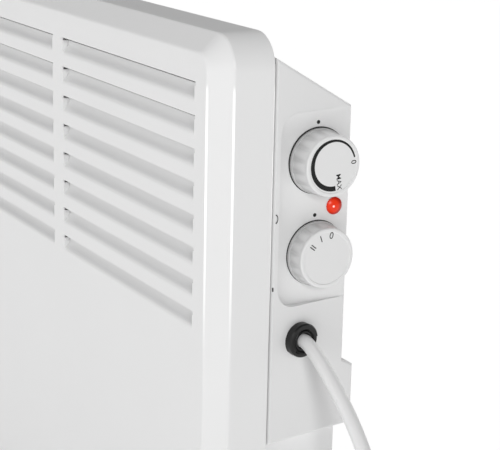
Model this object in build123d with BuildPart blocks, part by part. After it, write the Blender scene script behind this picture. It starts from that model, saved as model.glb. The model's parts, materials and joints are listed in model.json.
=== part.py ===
from build123d import *
import math
import os

os.makedirs("parts", exist_ok=True)

# Panel convector heater on two feet. Millimetres, +Z up.
# The front faces -Y and the controls are on the +X side.
# A depth is measured back from the front face, a level down from the panel's top,
# and an inset in from the panel's outline.

# Front panel
panel_width = 595.0
panel_height = 400.0
panel_depth = 35.5
panel_corner = 18.5
panel_sheet = 1.0
bevel_in = 10.2
bevel_back = 11.0
bevel_soft = 2.2
lip_width = 16.0
lip_bend = 0.9
ground_gap = 50.0

# Louvres pressed into the front
louvre_rows = 8
louvre_pitch = 18.0
louvre_top = 25.8
louvre_height = 10.6
louvre_gap = 1.9
louvre_depth = 4.0
louvre_heel = 3.5
louvre_side = 22.3
louvre_banks = 3
louvre_web = 14.0

# Rear casing
casing_sheet = 1.0
casing_inset = 13.6
casing_depth = 88.5
casing_top_front = 13.5
casing_top_rear = 43.2
casing_heel = 16.0
flange_inset = 4.0
flange_sheet = 1.0
window_front = 43.0
window_rear = 85.8
window_top = 50.0
window_bottom = 216.0
inlet_columns = 15
inlet_rows = 2
inlet_length = 18.0
inlet_width = 5.0
inlet_pitch = 24.0

# Control cover on the +X side
heater_depth = 97.5
cover_wall = 2.0
cover_front = 37.0
cover_rear = 89.5
cover_inset_front = 1.5
cover_inset_rear = 8.2
cover_top_front = 12.7
cover_top_rear = 42.5
cover_bottom = 229.6
cover_edge = 1.5
heel_top = 189.8
heel_drop = 4.2
heel_reach = 42.0
recess_front = 41.0
recess_top = 42.8
recess_bottom = 151.3
recess_corner = 12.0

# Knobs, their spindles and what they turn
knob_depth = 68.5
thermostat_level = 71.6
switch_level = 123.6
knob_radius = 18.25
knob_face_radius = 16.9
thermostat_knob_height = 15.8
switch_knob_height = 12.7
knob_collar = 1.6
knob_step = 0.45
knob_float = 0.6
knob_edge = 1.0
knob_wall = 1.8
knob_top_wall = 2.4
knob_dish = 0.35
knob_rim = 1.9
flute_count = 16
flute_radius = 11.0
flute_bite = 0.5
hub_radius = 5.2
spindle_radius = 3.0
spindle_flat = 2.2
spindle_fit = 0.05
spindle_inside = 12.0
spindle_grip = 7.0
collar_radius = 4.8
collar_fit = 0.2
thermostat_size = (26.0, 32.0, 38.0)
switch_size = (24.0, 30.0, 34.0)
block_edge = 1.5
tab_size = (8.0, 0.8, 6.3)
tab_spread = 9.0

# Small screws
ear_reach = 10.5
ear_screw_radius = 1.4
ear_head_radius = 2.7
ear_head_height = 1.6
ear_screw_length = 6.0
screw_fit = 0.15
case_screw_radius = 1.7
case_head_radius = 3.4
case_head_height = 1.8
case_screw_length = 7.0
case_screw_side_drop = 110.0
case_screw_end_gap = 60.0
foot_screw_radius = 2.4
foot_head_radius = 4.4
foot_head_height = 3.0

# Indicator lamp
lamp_depth = 79.9
lamp_level = 98.0
lamp_radius = 4.9
lamp_rim = 0.6
lamp_dome = 1.7
lamp_neck_radius = 4.0
lamp_neck_length = 7.0
lamp_body_radius = 5.4
lamp_body_length = 15.0
lamp_fit = 0.1

# Cable gland, a bushing in two halves round the cord
gland_depth = 57.4
gland_level = 171.0
gland_head_radius = 9.9
gland_head_height = 4.8
gland_key_height = 3.9
gland_mouth_radius = 6.3
gland_neck_radius = 7.6
gland_neck_length = 12.0
gland_barb = 1.0
gland_hole_fit = 0.2
gland_seam = 0.3
gland_key_from = 128.0
gland_key_sweep = 150.0
gland_key_reach = 20.0
gland_edge = 0.7

# Mains cord
cord_radius = 4.0
cord_fit = 0.15
cord_stub = 11.5
coil_out = 96.0
coil_y = 100.0
coil_first_radius = 50.0
coil_half_turns = 4
coil_pitch = 8.6
coil_layer = 8.6

# Plug
plug_radius = 18.0
plug_body_length = 34.0
plug_edge = 1.0
plug_shoulder = (22.0, 26.4)
plug_shoulder_corner = 9.9
plug_relief_length = 26.0
plug_relief_radius = 6.5
plug_relief_wall = 1.2
pin_radius = 2.4
pin_length = 19.0
pin_spacing = 19.0
pin_seat = 8.0

# Inside the casing
bulkhead_gap = 56.0
bulkhead_sheet = 0.8
shield_sheet = 0.8
shield_gap = 8.0
shield_side_gap = 40.0
shield_height = 200.0
shield_level = 80.0
shield_foot = 12.0
element_side_gap = 75.0
element_depth = 62.0
element_level = 318.0
element_core = 9.0
element_wing = 24.0
element_wing_sheet = 2.2
element_wing_angle = 40.0
rod_radius = 3.5
rod_fit = 0.05
rod_reach = 24.0
ceramic_radius = 6.5
ceramic_collar = 9.0
ceramic_length = 10.0
ceramic_lip = 3.0
bracket_sheet = 1.0
bracket_height = 40.0
bracket_foot = 14.0
cutout_radius = 8.0
cutout_height = 9.0
cutout_level = 262.0
cutout_arm = 30.0
cutout_arm_width = 14.0
terminal_size = (18.0, 16.0, 44.0)
terminal_level = 196.0
terminal_ways = 3
terminal_groove = 1.5
terminal_screw_radius = 1.8

# Feet
foot_length = 210.0
foot_width = 24.0
foot_inset = 85.0
foot_toe = 13.0
foot_top_length = 60.0
foot_arch = 92.0
foot_arch_height = 16.0
foot_edge = 2.0
foot_neck = (45.0, 27.5)
foot_screw_depths = (48.0, 66.0)
pad_height = 3.0
pad_length = 34.0
pad_width = 16.0

# Wall bracket holes in the back
wall_spacing_x = 360.0
wall_spacing_z = 200.0
wall_hole_radius = 2.75

# The origin is on the floor under the middle of the heater's box. The knobs stand out
# on one side, so the panel's middle lies half their reach to the other side.
knob_reach = thermostat_knob_height - cover_inset_rear
mid_x = -knob_reach / 2
right_x = mid_x + panel_width / 2
left_x = mid_x - panel_width / 2
front_y = -heater_depth / 2
lip_y = front_y + panel_depth
back_y = front_y + casing_depth
panel_bottom = ground_gap
panel_top = panel_bottom + panel_height
panel_mid_z = panel_bottom + panel_height / 2
casing_left = left_x + casing_inset
casing_right = right_x - casing_inset
casing_bottom = panel_bottom + casing_inset
floor_x = right_x - cover_inset_rear
bulkhead_x = casing_right - casing_sheet - bulkhead_gap
front_plane = Plane(origin=(mid_x, front_y, panel_mid_z), x_dir=(1, 0, 0), z_dir=(0, -1, 0))
lip_plane = Plane(origin=(mid_x, lip_y, panel_mid_z), x_dir=(-1, 0, 0), z_dir=(0, 1, 0))


def back(depth):
    """Y at a depth behind the front face."""
    return front_y + depth


def down(level):
    """Z at a level below the panel's top."""
    return panel_top - level


def side_plane(x):
    """Plane across the heater at x: its own x runs back and its own y runs up."""
    return Plane(origin=(x, 0, 0), x_dir=(0, 1, 0), z_dir=(1, 0, 0))


def turning_plane(x, y, z):
    """Plane for a section turned about +X: its own x is the radius, its own y runs along +X."""
    return Plane(origin=(x, y, z), x_dir=(0, 1, 0), z_dir=(0, 0, -1))


def save(piece, name):
    """Labels a finished piece and writes its file."""
    piece.part.label = name
    export_step(piece.part, f"parts/{name}.step")


# Front panel: a drawn steel pan with a bevelled front, a turned-in lip and louvres
bank_length = (panel_width - 2 * louvre_side - (louvre_banks - 1) * louvre_web) / louvre_banks
bank_starts = [left_x + louvre_side + i * (bank_length + louvre_web) for i in range(louvre_banks)]
slot_levels = [down(louvre_top + i * louvre_pitch) for i in range(louvre_rows)]
blade_rise = louvre_height - louvre_gap
blade_turn = 2 * math.degrees(math.atan(louvre_depth / blade_rise))
blade_brow = blade_rise / math.sin(math.radians(blade_turn)) - louvre_heel

screw_inset = (flange_inset + casing_inset) / 2
screw_columns = [mid_x + i * (panel_width / 2 - case_screw_end_gap) for i in (-1, 0, 1)]
screw_spots = [(x, panel_bottom + screw_inset) for x in screw_columns]
screw_spots += [(x, panel_top - (flange_inset + casing_top_front) / 2) for x in screw_columns]
screw_spots += [(left_x + screw_inset, panel_mid_z + i * case_screw_side_drop) for i in (-1, 1)]
screw_spots += [(right_x - screw_inset, panel_mid_z - case_screw_side_drop)]
screw_hole = case_screw_radius + screw_fit


def blade_section(z, cheek=False):
    """Closed S-shaped section of a louvre whose foot is at z, or of the cheek at its end."""
    heel = (front_y + louvre_heel, z)
    brow = (front_y + louvre_depth - blade_brow, z + blade_rise)
    CenterArc(heel, louvre_heel - panel_sheet, 180, -blade_turn)
    CenterArc(brow, blade_brow + panel_sheet, -blade_turn, blade_turn)
    tip = (front_y + louvre_depth, z + blade_rise)
    inner_tip = (front_y + louvre_depth + panel_sheet, z + blade_rise)
    Line((front_y, z), (front_y + panel_sheet, z))
    if cheek:
        Polyline(inner_tip, (front_y, z + blade_rise), (front_y, z))
    else:
        CenterArc(heel, louvre_heel, 180, -blade_turn)
        CenterArc(brow, blade_brow, -blade_turn, blade_turn)
        Line(tip, inner_tip)


with BuildPart() as front_panel:
    with BuildSketch(front_plane):
        RectangleRounded(panel_width, panel_height, panel_corner)
    extrude(amount=-panel_depth)
    face = faces().sort_by(Axis.Y)[0]
    chamfer(face.edges(), length=bevel_in, length2=bevel_back, reference=face)
    fillet(faces().sort_by(Axis.Y)[0].edges(), bevel_soft)
    outer_bevel = edges().filter_by_position(Axis.Y, back(bevel_back) - 0.1, back(bevel_back) + 0.1)
    fillet(outer_bevel, bevel_soft)
    offset(amount=-panel_sheet, openings=faces().sort_by(Axis.Y)[-1])
    with BuildSketch(lip_plane):
        RectangleRounded(panel_width, panel_height, panel_corner)
        Rectangle(panel_width - 2 * lip_width, panel_height - 2 * lip_width, mode=Mode.SUBTRACT)
    extrude(amount=-panel_sheet)
    fillet(faces().sort_by(Axis.Y)[-1].outer_wire().edges(), lip_bend)
    for x in bank_starts:
        with BuildSketch(side_plane(x)):
            for z in slot_levels:
                with Locations((front_y, z)):
                    Rectangle(4 * panel_sheet, louvre_height, align=(Align.CENTER, Align.MAX))
        extrude(amount=bank_length, mode=Mode.SUBTRACT)
        with BuildSketch(side_plane(x)):
            for z in slot_levels:
                with BuildLine():
                    blade_section(z - louvre_height)
                make_face()
        extrude(amount=bank_length)
        for end in (x, x + bank_length - panel_sheet):
            with BuildSketch(side_plane(end)):
                for z in slot_levels:
                    with BuildLine():
                        blade_section(z - louvre_height, cheek=True)
                    make_face()
            extrude(amount=panel_sheet)
    with BuildSketch(lip_plane):
        with Locations([(mid_x - x, z - panel_mid_z) for x, z in screw_spots]):
            Circle(screw_hole)
    extrude(amount=-2 * panel_sheet, mode=Mode.SUBTRACT)
save(front_panel, "front_panel")


# Rear casing: a folded steel tray with a sloped top and a flange behind the panel's lip
def casing_outline(gap):
    """Section of the casing's outside across the heater, moved inwards by gap."""
    slope = (casing_top_rear - casing_top_front) / (casing_depth - panel_depth)
    drop = gap * math.hypot(1, slope)
    Polyline(
        (lip_y, down(casing_top_front + drop)),
        (back_y - gap, down(casing_top_rear + drop - gap * slope)),
        (back_y - gap, casing_bottom + casing_heel + gap * (math.sqrt(2) - 1)),
        (back_y - casing_heel - gap * (math.sqrt(2) - 1), casing_bottom + gap),
        (lip_y, casing_bottom + gap),
        close=True,
    )


inner_left = casing_left + casing_sheet
inner_right = casing_right - casing_sheet
inner_back = back_y - casing_sheet
inner_bottom = casing_bottom + casing_sheet
flange_width = panel_width - 2 * flange_inset
flange_height = panel_height - 2 * flange_inset
wall_holes = [(i * wall_spacing_x / 2, j * wall_spacing_z / 2) for i in (-1, 1) for j in (-1, 1)]
foot_x = [left_x + foot_inset, right_x - foot_inset]
foot_hole_y = [back(depth) for depth in foot_screw_depths]

with BuildPart() as rear_casing:
    with BuildSketch(side_plane(casing_left)):
        with BuildLine():
            casing_outline(0)
        make_face()
    extrude(amount=casing_right - casing_left)
    with BuildSketch(lip_plane):
        RectangleRounded(flange_width, flange_height, panel_corner - flange_inset)
    extrude(amount=flange_sheet)
    with BuildSketch(side_plane(inner_left)):
        with BuildLine():
            casing_outline(casing_sheet)
        make_face()
    extrude(amount=inner_right - inner_left, mode=Mode.SUBTRACT)
    with BuildSketch(lip_plane):
        with Locations([(mid_x - x, z - panel_mid_z) for x, z in screw_spots]):
            Circle(screw_hole)
    extrude(amount=flange_sheet, mode=Mode.SUBTRACT)
    with BuildSketch(side_plane(casing_right)):
        with Locations((back(window_front), down(window_bottom))):
            Rectangle(window_rear - window_front, window_bottom - window_top, align=Align.MIN)
    extrude(amount=-2 * casing_sheet, mode=Mode.SUBTRACT)
    with BuildSketch(Plane.XY.offset(casing_bottom)):
        with Locations((mid_x, back((panel_depth + casing_depth - casing_heel) / 2))):
            with GridLocations(inlet_pitch, 3 * inlet_width, inlet_columns, inlet_rows):
                SlotOverall(inlet_length, inlet_width)
        with Locations([(x, y) for x in foot_x for y in foot_hole_y]):
            Circle(foot_screw_radius + screw_fit)
    extrude(amount=casing_sheet, mode=Mode.SUBTRACT)
    with BuildSketch(Plane(origin=(mid_x, back_y, panel_mid_z), x_dir=(-1, 0, 0), z_dir=(0, 1, 0))):
        with Locations(wall_holes):
            Circle(wall_hole_radius)
    extrude(amount=-casing_sheet, mode=Mode.SUBTRACT)
save(rear_casing, "rear_casing")


def pan_screws(name, spots, head_radius, head_height, shank_radius, length):
    """A set of pan-head screws as separate solids; each spot is a plane on the seat of a head."""
    with BuildPart() as screws:
        for spot in spots:
            with BuildSketch(spot):
                Circle(head_radius)
            extrude(amount=head_height)
            with BuildSketch(spot):
                Circle(shank_radius)
            extrude(amount=-length)
            with BuildSketch(spot.offset(head_height)):
                Rectangle(1.4 * head_radius, 0.2 * head_radius)
                Rectangle(0.2 * head_radius, 1.4 * head_radius)
            extrude(amount=-head_height / 2, mode=Mode.SUBTRACT)
    save(screws, name)


flange_back = lip_y + flange_sheet
case_spots = [Plane(origin=(x, flange_back, z), z_dir=(0, 1, 0)) for x, z in screw_spots]
pan_screws("casing_screws", case_spots, case_head_radius, case_head_height,
           case_screw_radius, case_screw_length)


# Control cover: a moulded box whose side tapers in towards the back, with a flat recess
taper = (cover_inset_rear - cover_inset_front) / (cover_rear - cover_front)
wall_run = cover_wall * math.hypot(1, taper)


def side_inset(depth):
    """How far the cover's tapered side lies inside the panel's side at a depth."""
    return cover_inset_front + (depth - cover_front) * taper


def cover_plan(gap):
    """Plan of the cover from above, moved inwards by gap on the tapered side."""
    shift = gap * math.hypot(1, taper)
    Polyline(
        (casing_right, back(cover_front + gap)),
        (right_x - side_inset(cover_front + gap) - shift, back(cover_front + gap)),
        (right_x - side_inset(heater_depth - gap) - shift, back(heater_depth - gap)),
        (casing_right, back(heater_depth - gap)),
        close=True,
    )


def cover_outline(gap):
    """Side view of the cover, moved inwards by gap."""
    slope = (cover_top_rear - cover_top_front) / (cover_rear - cover_front)
    drop = gap * math.hypot(1, slope)
    Polyline(
        (back(cover_front + gap), down(cover_top_front + drop + gap * slope)),
        (back(cover_rear - gap), down(cover_top_rear + drop - gap * slope)),
        (back(cover_rear - gap), down(heel_top + gap)),
        (back(heater_depth - gap), down(heel_top + heel_drop + gap)),
        (back(heater_depth - gap), down(cover_bottom - gap)),
        (back(cover_front + gap), down(cover_bottom - gap)),
        close=True,
    )


recess_mid = (recess_top + recess_bottom) / 2
gland_normal = Vector(1, taper, 0).normalized()
gland_centre = Vector(right_x - side_inset(gland_depth), back(gland_depth), down(gland_level))
gland_plane = Plane(origin=gland_centre, x_dir=(0, 0, 1), z_dir=gland_normal)
knob_y = back(knob_depth)
ear_spots = [down(level) + i * ear_reach for level in (thermostat_level, switch_level) for i in (-1, 1)]

with BuildPart() as cover_hollow:
    with BuildSketch(Plane.XY.offset(down(cover_bottom))):
        with BuildLine():
            cover_plan(cover_wall)
        make_face()
    extrude(amount=cover_bottom)
    with BuildSketch(side_plane(casing_right)):
        with BuildLine():
            cover_outline(cover_wall)
        make_face()
    extrude(amount=casing_inset, mode=Mode.INTERSECT)
    with BuildSketch(side_plane(floor_x - cover_wall)):
        with Locations((back(recess_front - cover_wall), down(recess_mid))):
            Rectangle(casing_depth, recess_bottom - recess_top + 2 * cover_wall,
                      align=(Align.MIN, Align.CENTER))
    extrude(amount=casing_inset, mode=Mode.SUBTRACT)

with BuildPart() as control_cover:
    with BuildSketch(Plane.XY.offset(down(cover_bottom))):
        with BuildLine():
            cover_plan(0)
        make_face()
    extrude(amount=cover_bottom)
    with BuildSketch(side_plane(casing_right)):
        with BuildLine():
            cover_outline(0)
        make_face()
    extrude(amount=casing_inset, mode=Mode.INTERSECT)
    side_face = faces().sort_by(Axis.X)[-1]
    fillet(side_face.edges(), cover_edge)
    with BuildSketch(side_plane(casing_right - heel_reach)):
        with Locations((back(heater_depth), down(cover_bottom))):
            Rectangle(heater_depth - casing_depth, cover_bottom - heel_top - heel_drop,
                      align=(Align.MAX, Align.MIN))
    extrude(amount=heel_reach)
    with BuildSketch(side_plane(floor_x)):
        with Locations((back(recess_front), down(recess_mid))):
            RectangleRounded(2 * casing_depth, recess_bottom - recess_top, recess_corner,
                             align=(Align.MIN, Align.CENTER))
    extrude(amount=casing_inset, mode=Mode.SUBTRACT)
    add(cover_hollow.part, mode=Mode.SUBTRACT)
    with BuildSketch(side_plane(casing_right - heel_reach + cover_wall)):
        with Locations((back(heater_depth - cover_wall), down(cover_bottom - cover_wall))):
            Rectangle(heater_depth - casing_depth - cover_wall,
                      cover_bottom - heel_top - heel_drop - 2 * cover_wall, align=(Align.MAX, Align.MIN))
    extrude(amount=heel_reach - cover_wall, mode=Mode.SUBTRACT)
    with BuildSketch(side_plane(floor_x)):
        with Locations((knob_y, down(thermostat_level)), (knob_y, down(switch_level))):
            Circle(collar_radius + collar_fit)
        with Locations([(knob_y, z) for z in ear_spots]):
            Circle(ear_screw_radius + screw_fit)
        with Locations((back(lamp_depth), down(lamp_level))):
            Circle(lamp_neck_radius + lamp_fit)
    extrude(amount=-2 * cover_wall, mode=Mode.SUBTRACT)
    with BuildSketch(gland_plane):
        Circle(gland_neck_radius + gland_hole_fit)
    extrude(amount=-2 * cover_wall, mode=Mode.SUBTRACT)
save(control_cover, "control_cover")

ear_planes = [Plane(origin=(floor_x, knob_y, z), z_dir=(1, 0, 0)) for z in ear_spots]
pan_screws("control_screws", ear_planes, ear_head_radius, ear_head_height,
           ear_screw_radius, ear_screw_length)


# Knobs: a skirt with shallow flutes over a collar, a dished face and a keyed hub
def knob(name, level, height):
    """A knob at a level of the recess floor; height is from the floor to its face."""
    rise = height - knob_float
    base = turning_plane(floor_x + knob_float, knob_y, down(level))
    skirt_radius = knob_radius - knob_step
    lean = math.degrees(math.atan((skirt_radius - knob_face_radius) / (rise - knob_collar)))
    axis = Axis(base.origin, (1, 0, 0))
    with BuildPart() as turned:
        with BuildSketch(base):
            with BuildLine():
                Polyline(
                    (0, rise - knob_dish),
                    (knob_face_radius - knob_rim - knob_dish, rise - knob_dish),
                    (knob_face_radius - knob_rim, rise),
                    (knob_face_radius, rise),
                    (skirt_radius, knob_collar),
                    (knob_radius, knob_collar),
                    (knob_radius, 0),
                    (knob_radius - knob_wall, 0),
                    (knob_face_radius - knob_wall, rise - knob_top_wall),
                    (hub_radius, rise - knob_top_wall),
                    (hub_radius, 0),
                    (0, 0),
                    close=True,
                )
            make_face()
        revolve(axis=axis)
        fillet(faces().sort_by(Axis.X)[-1].outer_wire().edges(), knob_edge)
        with BuildSketch(Plane(origin=base.origin, z_dir=(1, 0, 0)).offset(knob_collar)):
            with PolarLocations(skirt_radius + flute_radius - flute_bite, flute_count):
                Circle(flute_radius)
        extrude(amount=rise - knob_collar - knob_rim, taper=-lean, mode=Mode.SUBTRACT)
        with BuildSketch(Plane(origin=base.origin, z_dir=(1, 0, 0))):
            Circle(spindle_radius + spindle_fit)
            with Locations((0, spindle_radius + spindle_flat)):
                Rectangle(4 * spindle_radius, 2 * spindle_radius, mode=Mode.SUBTRACT)
        extrude(amount=spindle_grip, mode=Mode.SUBTRACT)
    save(turned, name)


def spindle(name, level):
    """The spindle under a knob, with a flat over its whole length."""
    seat = Plane(origin=(floor_x - spindle_inside, knob_y, down(level)), z_dir=(1, 0, 0))
    with BuildPart() as turned:
        with BuildSketch(seat):
            Circle(spindle_radius)
        extrude(amount=spindle_inside)
        with BuildSketch(seat.offset(spindle_inside)):
            Circle(spindle_radius)
            with Locations((0, spindle_radius + spindle_flat - spindle_fit)):
                Rectangle(4 * spindle_radius, 2 * spindle_radius, mode=Mode.SUBTRACT)
        extrude(amount=knob_float + spindle_grip)
    save(turned, name)


def control_block(name, level, size):
    """The switch body behind the cover's floor: block, collar through the cover, and tabs."""
    depth, width, height = size
    seat = Plane(origin=(floor_x - cover_wall, knob_y, down(level)), z_dir=(1, 0, 0))
    with BuildPart() as block:
        with BuildSketch(side_plane(seat.origin.X)):
            with Locations((knob_y, down(level))):
                Rectangle(width, height)
        extrude(amount=-depth)
        chamfer(faces().sort_by(Axis.X)[0].edges(), block_edge)
        with BuildSketch(seat):
            Circle(collar_radius)
        extrude(amount=cover_wall)
        for i in (-1, 1):
            for j in (-1, 1):
                with BuildSketch(side_plane(seat.origin.X - depth)):
                    with Locations((knob_y + i * tab_spread, down(level) + j * tab_spread)):
                        Rectangle(tab_size[1], tab_size[2])
                extrude(amount=-tab_size[0])
        with BuildSketch(seat.offset(cover_wall)):
            Circle(spindle_radius + spindle_fit)
        extrude(amount=-spindle_inside - spindle_fit, mode=Mode.SUBTRACT)
        with BuildSketch(side_plane(seat.origin.X)):
            with Locations([(knob_y, down(level) + i * ear_reach) for i in (-1, 1)]):
                Circle(ear_screw_radius + screw_fit)
        extrude(amount=-ear_screw_length, mode=Mode.SUBTRACT)
    save(block, name)


knob("thermostat_knob", thermostat_level, thermostat_knob_height)
knob("switch_knob", switch_level, switch_knob_height)
spindle("thermostat_spindle", thermostat_level)
spindle("switch_spindle", switch_level)
control_block("thermostat_body", thermostat_level, thermostat_size)
control_block("switch_body", switch_level, switch_size)

# Indicator lamp: a domed lens whose neck is held by the lamp body behind the cover
lamp_base = turning_plane(floor_x, back(lamp_depth), down(lamp_level))
lamp_axis = Axis(lamp_base.origin, (1, 0, 0))
lamp_ball = (lamp_radius**2 + lamp_dome**2) / (2 * lamp_dome)
lamp_spread = math.degrees(math.asin(lamp_radius / lamp_ball))
with BuildPart() as indicator_lens:
    with BuildSketch(lamp_base):
        with BuildLine():
            Polyline((0, lamp_rim + lamp_dome), (0, -lamp_neck_length),
                     (lamp_neck_radius, -lamp_neck_length), (lamp_neck_radius, 0),
                     (lamp_radius, 0), (lamp_radius, lamp_rim))
            CenterArc((0, lamp_rim + lamp_dome - lamp_ball), lamp_ball, 90 - lamp_spread, lamp_spread)
        make_face()
    revolve(axis=lamp_axis)
save(indicator_lens, "indicator_lens")

with BuildPart() as indicator_lamp:
    with BuildSketch(lamp_base):
        with BuildLine():
            Polyline((0, -lamp_body_length), (lamp_body_radius, -lamp_body_length),
                     (lamp_body_radius, -cover_wall), (lamp_neck_radius + lamp_fit, -cover_wall),
                     (lamp_neck_radius + lamp_fit, -lamp_neck_length), (0, -lamp_neck_length), close=True)
        make_face()
    revolve(axis=lamp_axis)
save(indicator_lamp, "indicator_lamp")


# Cable gland: a flared bushing whose head has a key cut out on the lower front side
gland_section = Plane(origin=gland_centre, x_dir=gland_plane.x_dir, z_dir=-gland_plane.y_dir)
cord_bore = cord_radius + cord_fit
barb_front = -cover_wall - gland_hole_fit

with BuildPart() as key_space:
    with BuildSketch(gland_plane):
        with BuildLine():
            angles = [math.radians(gland_key_from + i * gland_key_sweep / 2) for i in range(3)]
            rim = [(gland_key_reach * math.cos(a), gland_key_reach * math.sin(a)) for a in angles]
            Polyline((0, 0), *rim, close=True)
        make_face()
        Circle(gland_mouth_radius + gland_edge + gland_seam, mode=Mode.SUBTRACT)
    extrude(amount=gland_head_height)

with BuildPart() as gland_body:
    with BuildSketch(gland_section):
        with BuildLine():
            Polyline(
                (gland_head_radius, 0),
                (gland_head_radius, gland_head_height - gland_edge),
                (gland_head_radius - gland_edge, gland_head_height),
                (gland_mouth_radius + gland_edge, gland_head_height),
                (gland_mouth_radius, gland_head_height - gland_edge),
                (cord_bore, -gland_neck_length / 2),
                (cord_bore, -gland_neck_length),
                (gland_neck_radius - gland_barb, -gland_neck_length),
                (gland_neck_radius + gland_barb, barb_front - 2 * gland_barb),
                (gland_neck_radius + gland_barb, barb_front),
                (gland_neck_radius, barb_front),
                (gland_neck_radius, 0),
                close=True,
            )
        make_face()
    revolve(axis=Axis(gland_centre, gland_normal))
    add(key_space.part, mode=Mode.SUBTRACT)
save(gland_body, "gland_body")

with BuildPart() as gland_key:
    with BuildSketch(gland_plane):
        Circle(gland_head_radius - gland_seam)
        Circle(gland_mouth_radius + gland_edge + 2 * gland_seam, mode=Mode.SUBTRACT)
    extrude(amount=gland_key_height)
    add(key_space.part, mode=Mode.INTERSECT)
    fillet(faces().sort_by(Axis.X)[-1].edges(), gland_seam)
save(gland_key, "gland_key")

# Bulkhead: a folded plate that parts the control side from the heating chamber
element_y = back(element_depth)
element_z = down(element_level)
element_right = bulkhead_x - bulkhead_sheet - ceramic_lip
element_left = inner_left + element_side_gap
element_length = element_right - element_left
with BuildPart() as bulkhead:
    with BuildSketch(side_plane(bulkhead_x)):
        with BuildLine():
            casing_outline(casing_sheet)
        make_face()
    extrude(amount=-bulkhead_sheet)
    with BuildSketch(Plane(origin=(bulkhead_x, inner_back, panel_mid_z), z_dir=(0, 1, 0), x_dir=(1, 0, 0))):
        Rectangle(bracket_foot, panel_height / 2, align=(Align.MIN, Align.CENTER))
    extrude(amount=-bulkhead_sheet)
    with BuildSketch(side_plane(bulkhead_x)):
        with Locations((element_y, element_z)):
            Circle(ceramic_radius)
    extrude(amount=-bulkhead_sheet, mode=Mode.SUBTRACT)
save(bulkhead, "bulkhead")

# Heat shield: a plate held off the back wall by its folded feet
shield_y = inner_back - shield_gap
shield_right = bulkhead_x - bulkhead_sheet - shield_side_gap
shield_width = shield_right - inner_left - shield_side_gap
shield_mid = shield_right - shield_width / 2
with BuildPart() as heat_shield:
    with BuildSketch(Plane.XY.offset(down(shield_level))):
        with Locations((shield_mid, shield_y)):
            Rectangle(shield_width, shield_sheet, align=(Align.CENTER, Align.MIN))
        for i in (-1, 1):
            with Locations((shield_mid + i * (shield_width - shield_sheet) / 2, shield_y)):
                Rectangle(shield_sheet, shield_gap, align=(Align.CENTER, Align.MIN))
            with Locations((shield_mid + i * (shield_width - shield_foot) / 2, inner_back)):
                Rectangle(shield_foot, shield_sheet, align=(Align.CENTER, Align.MAX))
    extrude(amount=-shield_height)
save(heat_shield, "heat_shield")

# Heating element: an extruded body with four wings, a rod through it and ceramic ends
with BuildPart() as element_body:
    with BuildSketch(side_plane(element_left)):
        with Locations((element_y, element_z)):
            Circle(element_core)
            for side in (-1, 1):
                for tilt in (-element_wing_angle, element_wing_angle):
                    Rectangle(element_wing, element_wing_sheet, rotation=tilt + (180 if side < 0 else 0),
                              align=(Align.MIN, Align.CENTER))
            Circle(rod_radius + rod_fit, mode=Mode.SUBTRACT)
    extrude(amount=element_length)
save(element_body, "element_body")

with BuildPart() as element_rod:
    with BuildSketch(side_plane(element_left - rod_reach)):
        with Locations((element_y, element_z)):
            Circle(rod_radius)
    extrude(amount=element_length + 2 * rod_reach)
save(element_rod, "element_rod")


def ceramic_end(name, x, outwards):
    """Ceramic bush in the plate at x; its collar faces the element."""
    seat = side_plane(x)
    with BuildPart() as bush:
        with BuildSketch(seat):
            with Locations((element_y, element_z)):
                Circle(ceramic_collar)
        extrude(amount=-outwards * ceramic_lip)
        with BuildSketch(seat):
            with Locations((element_y, element_z)):
                Circle(ceramic_radius)
        extrude(amount=outwards * ceramic_length)
        with BuildSketch(side_plane(x - outwards * ceramic_lip)):
            with Locations((element_y, element_z)):
                Circle(rod_radius + rod_fit)
        extrude(amount=outwards * (ceramic_lip + ceramic_length), mode=Mode.SUBTRACT)
    save(bush, name)


bracket_x = element_left - ceramic_lip
ceramic_end("ceramic_right", bulkhead_x - bulkhead_sheet, 1)
ceramic_end("ceramic_left", bracket_x, -1)

with BuildPart() as element_bracket:
    with BuildSketch(side_plane(bracket_x)):
        with Locations((inner_back, element_z)):
            Rectangle(inner_back - element_y + bracket_height / 2, bracket_height,
                      align=(Align.MAX, Align.CENTER))
    extrude(amount=-bracket_sheet)
    fillet(edges().filter_by(Axis.X).group_by(Axis.Y)[0], bracket_height / 4)
    with BuildSketch(Plane(origin=(bracket_x, inner_back, element_z), z_dir=(0, 1, 0), x_dir=(-1, 0, 0))):
        Rectangle(bracket_foot, bracket_height, align=(Align.MIN, Align.CENTER))
    extrude(amount=-bracket_sheet)
    with BuildSketch(side_plane(bracket_x)):
        with Locations((element_y, element_z)):
            Circle(ceramic_radius)
    extrude(amount=-bracket_sheet, mode=Mode.SUBTRACT)
save(element_bracket, "element_bracket")

# Overheat cut-out on a folded arm that stands off the bulkhead, above the element
cutout_z = down(cutout_level)
arm_x = bulkhead_x - bulkhead_sheet
with BuildPart() as cutout_arm_part:
    with BuildSketch(Plane(origin=(arm_x, element_y, cutout_z), x_dir=(1, 0, 0), z_dir=(0, 0, 1))):
        Rectangle(cutout_arm, cutout_arm_width, align=(Align.MAX, Align.CENTER))
    extrude(amount=bracket_sheet)
    with BuildSketch(Plane(origin=(arm_x, element_y, cutout_z), x_dir=(0, 1, 0), z_dir=(1, 0, 0))):
        Rectangle(cutout_arm_width, bracket_foot, align=(Align.CENTER, Align.MIN))
    extrude(amount=-bracket_sheet)
save(cutout_arm_part, "cutout_arm")

with BuildPart() as thermal_cutout:
    cutout_seat = Plane(origin=(arm_x - cutout_arm / 2, element_y, cutout_z), z_dir=(0, 0, -1))
    with BuildSketch(cutout_seat):
        Circle(cutout_radius)
    extrude(amount=cutout_height)
    fillet(faces().sort_by(Axis.Z)[0].edges(), bracket_sheet)
save(thermal_cutout, "thermal_cutout")

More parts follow.
